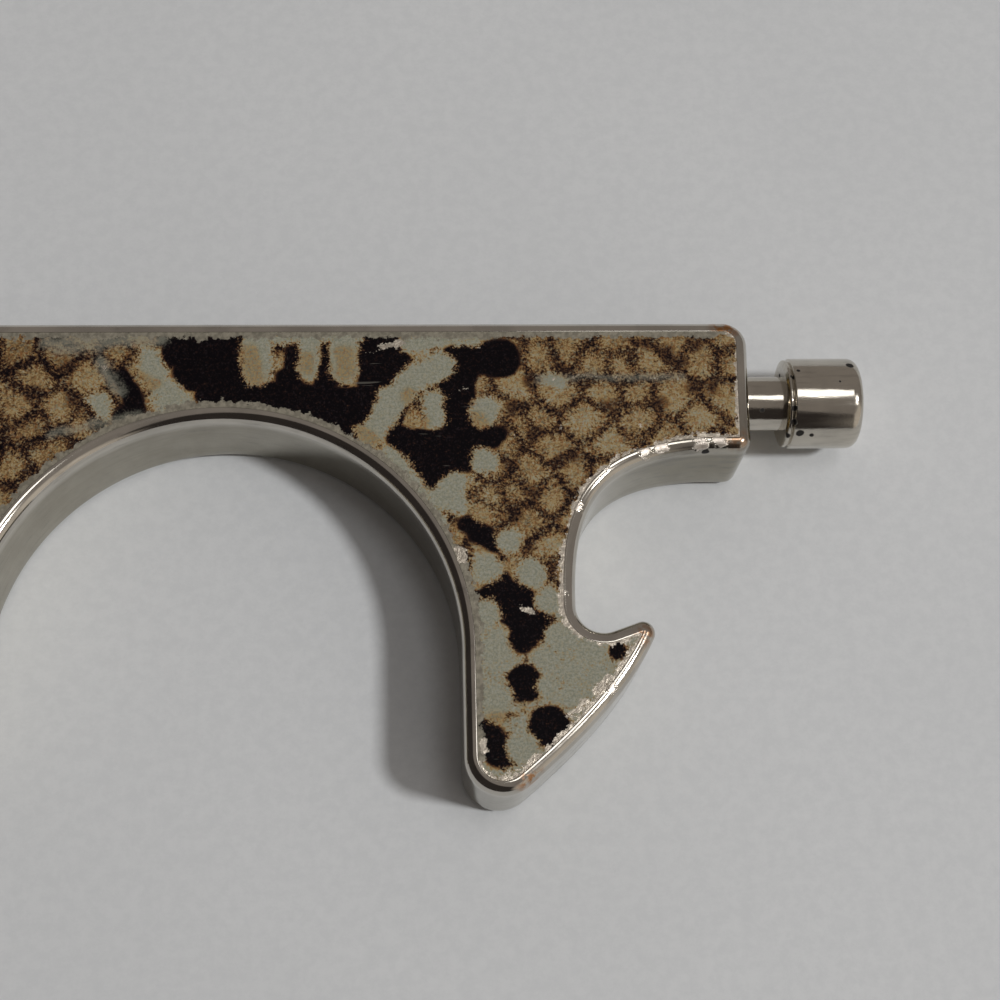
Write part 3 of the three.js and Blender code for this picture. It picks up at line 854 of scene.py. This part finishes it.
BARE_MARKS = [
    ((16.8, -12.5), (17.3, -13.2), 0.4),
    ((21.2, -16.9), (21.8, -17.1), 0.3),
    ((18.2, -26.3), (18.4, -26.8), 0.32),
    ((10.3, 2.5), (11.6, 2.95), 0.06),
    ((11.6, 2.95), (12.9, 3.4), 0.26),
    ((16.5, -0.6), (18.5, 0.1), 0.05),
    ((18.7, 2.9), (18.9, 3.0), 0.12),
    ((23.9, 0.5), (24.1, 0.5), 0.12),
    ((24.4, -3.3), (24.5, -3.2), 0.12),
    ((30.2, -3.4), (30.3, -3.3), 0.14),
    ((21.0, -4.2), (21.1, -4.1), 0.12),
    ((-8.7, 1.7), (-8.4, 1.4), 0.14),
    ((26.2, -22.9), (27.0, -21.9), 0.35),
    ((24.0, -24.6), (25.4, -23.6), 0.22),
    ((28.9, -19.8), (25.5, -23.9), 0.1),
    ((25.5, -23.9), (22.3, -27.4), 0.1),
    ((22.0, -27.9), (19.6, -28.6), 0.12),
    ((24.15, -15.2), (24.0, -16.6), 0.28),
    ((24.8, 0.65), (29.0, 0.5), 0.03),
    ((29.0, 0.5), (33.6, 0.42), 0.045),
]


def stroke_depth(points, strokes):
    """How far each point lies inside the nearest stroke, negative outside."""
    depth = np.full(len(points), -9.0)
    for start, end, half in strokes:
        start, end = np.array(start), np.array(end)
        span = end - start
        t = np.clip(((points - start) @ span) / max(span @ span, 1e-9), 0, 1)
        depth = np.maximum(depth, half - np.linalg.norm(points - start - t[:, None] * span, axis=1))
    return depth


def warped(points, per_mm, amount):
    """Points pushed about by smooth noise, so that a drawn edge wanders."""
    moved = points.copy()
    for i, (x, y) in enumerate(points):
        push = noise.noise_vector(Vector((x * per_mm, y * per_mm, 4.7)))
        moved[i] += (push.x * amount, push.y * amount)
    return moved


# Without a seed of its own, the noise library takes one from the clock.
PRINT_SEED = 7


def scale_cells(points, spacing=2.35, turn=24):
    """For each point, its depth in its own scale and that scale's random tint."""
    rng = np.random.default_rng(PRINT_SEED)
    centres = []
    for row in range(-40, 41):
        for column in range(-40, 41):
            centres.append(((column + 0.5 * (row % 2)) * spacing, row * spacing * 0.82))
    centres = np.array(centres)
    angle = math.radians(turn)
    centres = centres @ np.array([[math.cos(angle), math.sin(angle)], [-math.sin(angle), math.cos(angle)]])
    centres += rng.uniform(-0.17, 0.17, centres.shape) * spacing
    placed = np.array(OCHRE_SPOTS)
    room = np.linalg.norm(centres[:, None, :] - placed[None], axis=2).min(1) > 1.95
    centres = np.concatenate([placed, centres[room]])
    tints = rng.uniform(0, 1, len(centres))
    inside = (np.abs(centres[:, 0] - 6) < 36) & (centres[:, 1] > -33) & (centres[:, 1] < 8)
    centres, tints = centres[inside], tints[inside]
    edge, tint, spoke = np.empty(len(points)), np.empty(len(points)), np.empty((len(points), 3))
    for part in np.array_split(np.arange(len(points)), max(1, len(points) // 4000)):
        gaps = np.linalg.norm(points[part, None, :] - centres[None], axis=2)
        order = np.argsort(gaps, axis=1)[:, :2]
        near = np.take_along_axis(gaps, order, axis=1)
        edge[part] = (near[:, 1] - near[:, 0]) / 2
        tint[part] = tints[order[:, 0]]
        out = points[part] - centres[order[:, 0]]
        spoke[part, :2] = out / np.maximum(near[:, :1], 0.05)
        spoke[part, 2] = order[:, 0] * 3.7 + near[:, 0] * 0.3
    return edge, tint, spoke


def make_film():
    """A thin sheet that fills the seat, with the print's fields stored on its points."""
    noise.seed_set(PRINT_SEED)
    keep = LIMITS >= RIM + 0.02
    border = (OUTLINE + NORMALS * (RIM + 0.005))[keep]
    step = 0.18
    xs = np.arange(border[:, 0].min(), border[:, 0].max(), step)
    ys = np.arange(border[:, 1].min(), border[:, 1].max(), step)
    grid = np.stack(np.meshgrid(xs, ys), axis=-1).reshape(-1, 2)
    grid = grid[distance_to_outline(grid, border) > 0.11]
    count = len(border)
    edges = [(i, (i + 1) % count) for i in range(count)]
    flat = [Vector(p) for p in np.concatenate([border, grid])]
    points, _, faces, *_ = geometry.delaunay_2d_cdt(flat, edges, [], 1, 1e-5)
    used = sorted({i for face in faces for i in face})
    renumber = {old: new for new, old in enumerate(used)}
    points = np.array([tuple(points[i]) for i in used])
    top = [tuple(renumber[i] for i in face) for face in faces]
    sides = {}
    for face in top:
        for a, b in zip(face, face[1:] + face[:1]):
            if sides.pop((b, a), None) is None:
                sides[(a, b)] = True
    total = len(points)
    vertices = [(x, y, FILM_TOP) for x, y in points] + [(x, y, POCKET_FLOOR + 0.004) for x, y in points]
    under = [tuple(i + total for i in reversed(face)) for face in top]
    walls = [(b, a, a + total, b + total) for a, b in sides]
    film = new_object("print_film", vertices, top + under + walls, "body", 60, film_material)
    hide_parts("front_print_film")
    loose = warped(points, 0.9, 0.28)
    edge, tint, spoke = scale_cells(loose)
    tint -= np.clip((-4 - points[:, 0]) / 10, 0, 1) * 0.8
    dark = stroke_depth(loose, DARK_MARKS)
    pale = stroke_depth(loose, PALE_MARKS)
    leg = np.clip((-15.2 - loose[:, 1]) / 1.2, 0, 1)
    pale = np.maximum(pale, np.minimum(-dark - 0.38, 0.14) * leg - 1.2 * (1 - leg))
    x, y = points.T
    round_part = np.abs(np.hypot(x, y - ARCH_Y) - ARCH_RADIUS)
    straight_part = np.abs(np.abs(x) - ARCH_RADIUS)
    to_arch = np.where(y > ARCH_Y, round_part, straight_part)
    gap = distance_to_outline(points, OUTLINE)
    values = {
        "scale_edge": edge,
        "scale_tint": tint,
        "dark": dark,
        "pale": pale,
        "honey": stroke_depth(loose, HONEY_MARKS),
        "smear": stroke_depth(loose, SMEARS),
        "dull": (np.minimum(to_arch, BAR_HALF - y) < gap + 0.05).astype(float),
        "brown": stroke_depth(loose, [(spot, spot, 0.42) for spot in BROWN_SPOTS]),
        "bare": stroke_depth(warped(points, 1.8, 0.3), BARE_MARKS),
        "rim": gap - RIM,
    }
    for name, numbers in values.items():
        layer = film.data.attributes.new(name, "FLOAT", "POINT")
        layer.data.foreach_set("value", np.concatenate([numbers, numbers]).astype(np.float32))
    layer = film.data.attributes.new("spoke", "FLOAT_VECTOR", "POINT")
    layer.data.foreach_set("vector", np.concatenate([spoke, spoke]).astype(np.float32).ravel())
    return film


# ---------------------------------------------------------------- plunger
head_low, head_high = box_mm("plunger_head")
HEAD_START, HEAD_END, HEAD_RADIUS = head_low[0], head_high[0], head_high[1]
rod_low, rod_high = box_mm("plunger_rod")
ROD_RADIUS = rod_high[1]
COLLAR_WIDTH = 0.45
# The radius of the small flat that closes a turned end on its axis.
TIP = 0.02


def make_plunger():
    """The round head with its collar, the rod with the clip's groove, and the bush that guides it."""
    collar = HEAD_START + COLLAR_WIDTH
    profile = rounded(
        [
            (HEAD_START, ROD_RADIUS + 0.02),
            (HEAD_START, HEAD_RADIUS - 0.55, 0.12),
            (HEAD_START + 0.14, HEAD_RADIUS - 0.12, 0.12),
            (collar - 0.12, HEAD_RADIUS - 0.1, 0.06),
            (collar, HEAD_RADIUS - 0.3, 0.06),
            (collar + 0.12, HEAD_RADIUS, 0.08),
            (HEAD_END, HEAD_RADIUS, 0.9),
            (HEAD_END, 0.4),
        ],
        8,
    )
    profile.append((HEAD_END, TIP))
    vertices, faces = turned_solid(profile, 128)
    head = new_object("plunger_button", vertices, faces, "plunger", 50, plunger_metal)
    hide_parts("plunger_head")

    clip_low, clip_high = box_mm("retaining_clip")
    rod_profile = rounded(
        [
            (rod_low[0], TIP),
            (rod_low[0], 1.5, 0.25),
            (clip_low[0] - 0.05, 1.5),
            (clip_low[0] - 0.05, 1.2),
            (clip_high[0] + 0.05, 1.2),
            (clip_high[0] + 0.05, ROD_RADIUS, 0.1),
            (rod_high[0], ROD_RADIUS),
            (rod_high[0], TIP),
        ],
        5,
    )
    vertices, faces = turned_solid(rod_profile)
    rod = new_object("plunger_stem", vertices, faces, "plunger", 35, plunger_metal)
    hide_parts("plunger_rod")

    inner, outer = ROD_RADIUS + 0.1, bush_high[1]
    bush_profile = rounded(
        [
            (bush_low[0], inner),
            (bush_low[0], outer, 0.1),
            (bush_high[0], outer, 0.25),
            (bush_high[0], inner, 0.2),
            (bush_low[0], inner),
        ],
        5,
    )
    vertices, faces = turned(bush_profile)
    bush = new_object("stem_bush", vertices, faces, "body", 35, brass_metal)
    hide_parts("guide_bush")


# ---------------------------------------------------------------- chain and ring
WIRE = 0.75
LOOP_RADIUS = 3.25


def sweep(path, section, name, slot, material, closed=False):
    """A wire along a path of points. The first axis of its section stays along the loop's axis."""
    path = np.array(path, float)
    count = len(path)
    after = np.roll(path, -1, axis=0)
    before = np.roll(path, 1, axis=0)
    if not closed:
        after[-1] = path[-1]
        before[0] = path[0]
    along = after - before
    along /= np.linalg.norm(along, axis=1)[:, None]
    axis = np.array([0.0, 0.0, 1.0])
    vertices = []
    for point, direction in zip(path, along):
        side = np.cross(axis, direction)
        side /= np.linalg.norm(side)
        upright = np.cross(direction, side)
        vertices += [tuple(point + upright * a + side * b) for a, b in section]
    width = len(section)
    faces = strips(count, width)
    if closed:
        last = (count - 1) * width
        faces += [(last + i, last + (i + 1) % width, (i + 1) % width, i) for i in range(width)]
    else:
        faces += [tuple(range(width))[::-1], tuple(range((count - 1) * width, count * width))]
    faces = [tuple(reversed(f)) for f in faces]
    return new_object(name, vertices, faces, None, 40, material)


def loop_path(straight, gap_degrees=1.0):
    """A round-ended loop in the XY plane, starting and ending at a fine butt joint in its side."""
    points = []
    start = 90 + gap_degrees
    for middle, first, last in ((-straight / 2, start, 270), (straight / 2, -90, 90 - gap_degrees)):
        for angle in np.radians(np.linspace(first, last, 40)):
            points.append((middle + LOOP_RADIUS * math.cos(angle), LOOP_RADIUS * math.sin(angle), 0))
    points.append((-straight / 2 + 0.12, LOOP_RADIUS, 0))
    if straight == 0:
        points.pop()
    return points


def round_section(radius, sides=20):
    angles = [2 * math.pi * k / sides for k in range(sides)]
    return [(radius * math.cos(a), radius * math.sin(a)) for a in angles]


def joint(name):
    return next(j for j in frame["joints"] if j["name"] == name)


def make_chain():
    loops = [("jump_ring", "jump_ring", True, 0.0)]
    for number in range(1, 5):
        loops.append((f"chain_link_{number}", f"link_{number}", number % 2 == 0, 3.0))
    for node, body, upright, straight in loops:
        low, high = box_mm(node)
        centre = [(a + b) / 2 for a, b in zip(low, high)]
        obj = sweep(loop_path(straight), round_section(WIRE), node + "_wire", "chain_steel", chain_metal)
        turn = Matrix.Rotation(math.radians(90), 4, "X") if upright else Matrix.Identity(4)
        obj.data.transform(Matrix.Translation([c * MM for c in centre]) @ turn)
        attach(obj, body)
        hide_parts(node)


RING_RADIUS = 12.13
COIL_PITCH = 1.35
RING_TILT = math.radians(6.1)


def make_key_ring():
    path = []
    for angle in np.radians(np.linspace(34, 686, 260)):
        climb = min(max((math.degrees(angle) - 332) / 56, 0), 1)
        climb = climb * climb * (3 - 2 * climb)
        height = (climb - 0.5) * COIL_PITCH
        path.append((RING_RADIUS * math.cos(angle), RING_RADIUS * math.sin(angle), height))
    thick, wide, soft = 0.6, 0.82, 0.3
    section = []
    x, y = thick - soft, wide - soft
    for cx, cy, start in ((x, y, 0), (-x, y, 90), (-x, -y, 180), (x, -y, 270)):
        for k in range(5):
            a = math.radians(start + k * 22.5)
            section.append((cx + soft * math.cos(a), cy + soft * math.sin(a)))
    ring = sweep(path, section, "key_ring_coil", "ring_steel", ring_metal)
    grip = joint("key_ring_lift")["pos_m"]
    slide = Matrix.Translation((-RING_RADIUS * MM, 0, 0))
    ring.data.transform(Matrix.Translation(grip) @ Matrix.Rotation(-RING_TILT, 4, "Y") @ slide)
    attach(ring, "key_ring")
    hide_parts("split_ring")


def make_spring():
    """The return spring around the stem's end. It keeps its length here, though the real one shortens as the
    button is pushed in.
    """
    wire, turns, steps = 0.25, 7, 32
    radius = spring_high[1] - wire
    length = spring_high[0] - spring_low[0]
    path = []
    for k in range(turns * steps + 1):
        a = 2 * math.pi * k / steps
        path.append((radius * math.cos(a), radius * math.sin(a), (length - 2 * wire) * k / (turns * steps)))
    spring = sweep(path, round_section(wire, 12), "coil_spring", "spring_steel", spring_metal)
    start = Matrix.Translation(((spring_low[0] + wire) * MM, 0, MID * MM))
    spring.data.transform(start @ Matrix.Rotation(math.radians(90), 4, "Y"))
    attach(spring, "body")
    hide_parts("return_spring")
    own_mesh(spring)


# ---------------------------------------------------------------- stage
def make_floor():
    side = 2.0
    mesh = bpy.data.meshes.new("paper")
    corners = [(-side, -side, 0), (side, -side, 0), (side, side, 0), (-side, side, 0)]
    mesh.from_pydata(corners, [], [(0, 1, 2, 3)])
    mesh.materials.append(floor_material())
    floor = bpy.data.objects.new("paper", mesh)
    bpy.context.collection.objects.link(floor)


def make_camera():
    data = bpy.data.cameras.new("camera")
    data.lens = 63
    data.sensor_width = 36
    data.clip_start = 0.01
    camera = bpy.data.objects.new("camera", data)
    bpy.context.collection.objects.link(camera)
    position = Vector([c * MM for c in CAMERA_PLACE])
    target = Vector([c * MM for c in CAMERA_TARGET])
    back = (position - target).normalized()
    right = Vector((0, 1, 0)).cross(back).normalized()
    turn = Matrix((right, back.cross(right), back)).transposed()
    turn = turn @ Matrix.Rotation(math.radians(CAMERA_ROLL), 3, "Z")
    camera.rotation_mode = "QUATERNION"
    camera.rotation_quaternion = turn.to_quaternion()
    camera.location = position
    bpy.context.scene.camera = camera


CAMERA_PLACE = (12.81, -49.34, 125.69)
CAMERA_TARGET = (20.36, -6.165, 0)
CAMERA_ROLL = -1.53


def area_light(name, direction, distance, size, power, colour=(1, 1, 1)):
    data = bpy.data.lights.new(name, "AREA")
    data.shape = "DISK"
    data.size = size
    data.energy = power
    data.color = colour
    light = bpy.data.objects.new(name, data)
    bpy.context.collection.objects.link(light)
    away = Vector(direction).normalized()
    light.location = away * distance
    light.rotation_mode = "QUATERNION"
    light.rotation_quaternion = (-away).to_track_quat("-Z", "Y")


def make_light():
    """A small key lamp on the right, a wider one overhead, and a room dark on the left and in front."""
    area_light("key", (0.61, -0.15, 0.78), 2.0, 0.25, 17.5, (1, 0.985, 0.965))
    area_light("overhead", (0.23, 0.08, 0.97), 2.0, 0.6, 2.6, (1, 0.99, 0.97))
    world = bpy.data.worlds.new("room")
    bpy.context.scene.world = world
    world.use_nodes = True
    tree = world.node_tree
    background = tree.nodes["Background"]
    direction = tree.nodes.new("ShaderNodeTexCoord").outputs["Generated"]
    shares = []
    bright_parts = (
        ((0.707, 0.566, 0.424), 0.02, 0.11),
        ((1, 0, 0.12), -0.75, -0.40),
        ((0.77, -0.61, 0.2), 0.80, 0.95),
    )
    for axis, none, full in bright_parts:
        dot = tree.nodes.new("ShaderNodeVectorMath")
        dot.operation = "DOT_PRODUCT"
        tree.links.new(direction, dot.inputs[0])
        dot.inputs[1].default_value = axis
        share = tree.nodes.new("ShaderNodeMapRange")
        share.interpolation_type = "SMOOTHSTEP"
        tree.links.new(dot.outputs["Value"], share.inputs[0])
        share.inputs[1].default_value = none
        share.inputs[2].default_value = full
        shares.append(share.outputs[0])
    both = tree.nodes.new("ShaderNodeMath")
    both.operation = "MULTIPLY"
    tree.links.new(shares[0], both.inputs[0])
    tree.links.new(shares[1], both.inputs[1])
    mix = tree.nodes.new("ShaderNodeMix")
    mix.data_type = "RGBA"
    tree.links.new(both.outputs[0], mix.inputs[0])
    mix.inputs[6].default_value = (0.033, 0.028, 0.026, 1)
    mix.inputs[7].default_value = (0.235, 0.212, 0.195, 1)
    glow = tree.nodes.new("ShaderNodeMix")
    glow.data_type = "RGBA"
    tree.links.new(shares[2], glow.inputs[0])
    tree.links.new(mix.outputs[2], glow.inputs[6])
    glow.inputs[7].default_value = (0.58, 0.53, 0.47, 1)
    tree.links.new(glow.outputs[2], background.inputs["Color"])
    background.inputs["Strength"].default_value = 1.0
    bpy.context.scene.view_settings.view_transform = "Standard"


make_camera()
make_light()
make_floor()
casting = make_casting()
cut_round(casting, BORE_END, BAR_RIGHT + 1, BORE_RADIUS)
make_film()
make_plunger()
make_chain()
make_key_ring()
make_spring()
clip_mesh = frame["nodes"]["retaining_clip"].data
clip_mesh.materials.clear()
clip_mesh.materials.append(spring_metal)
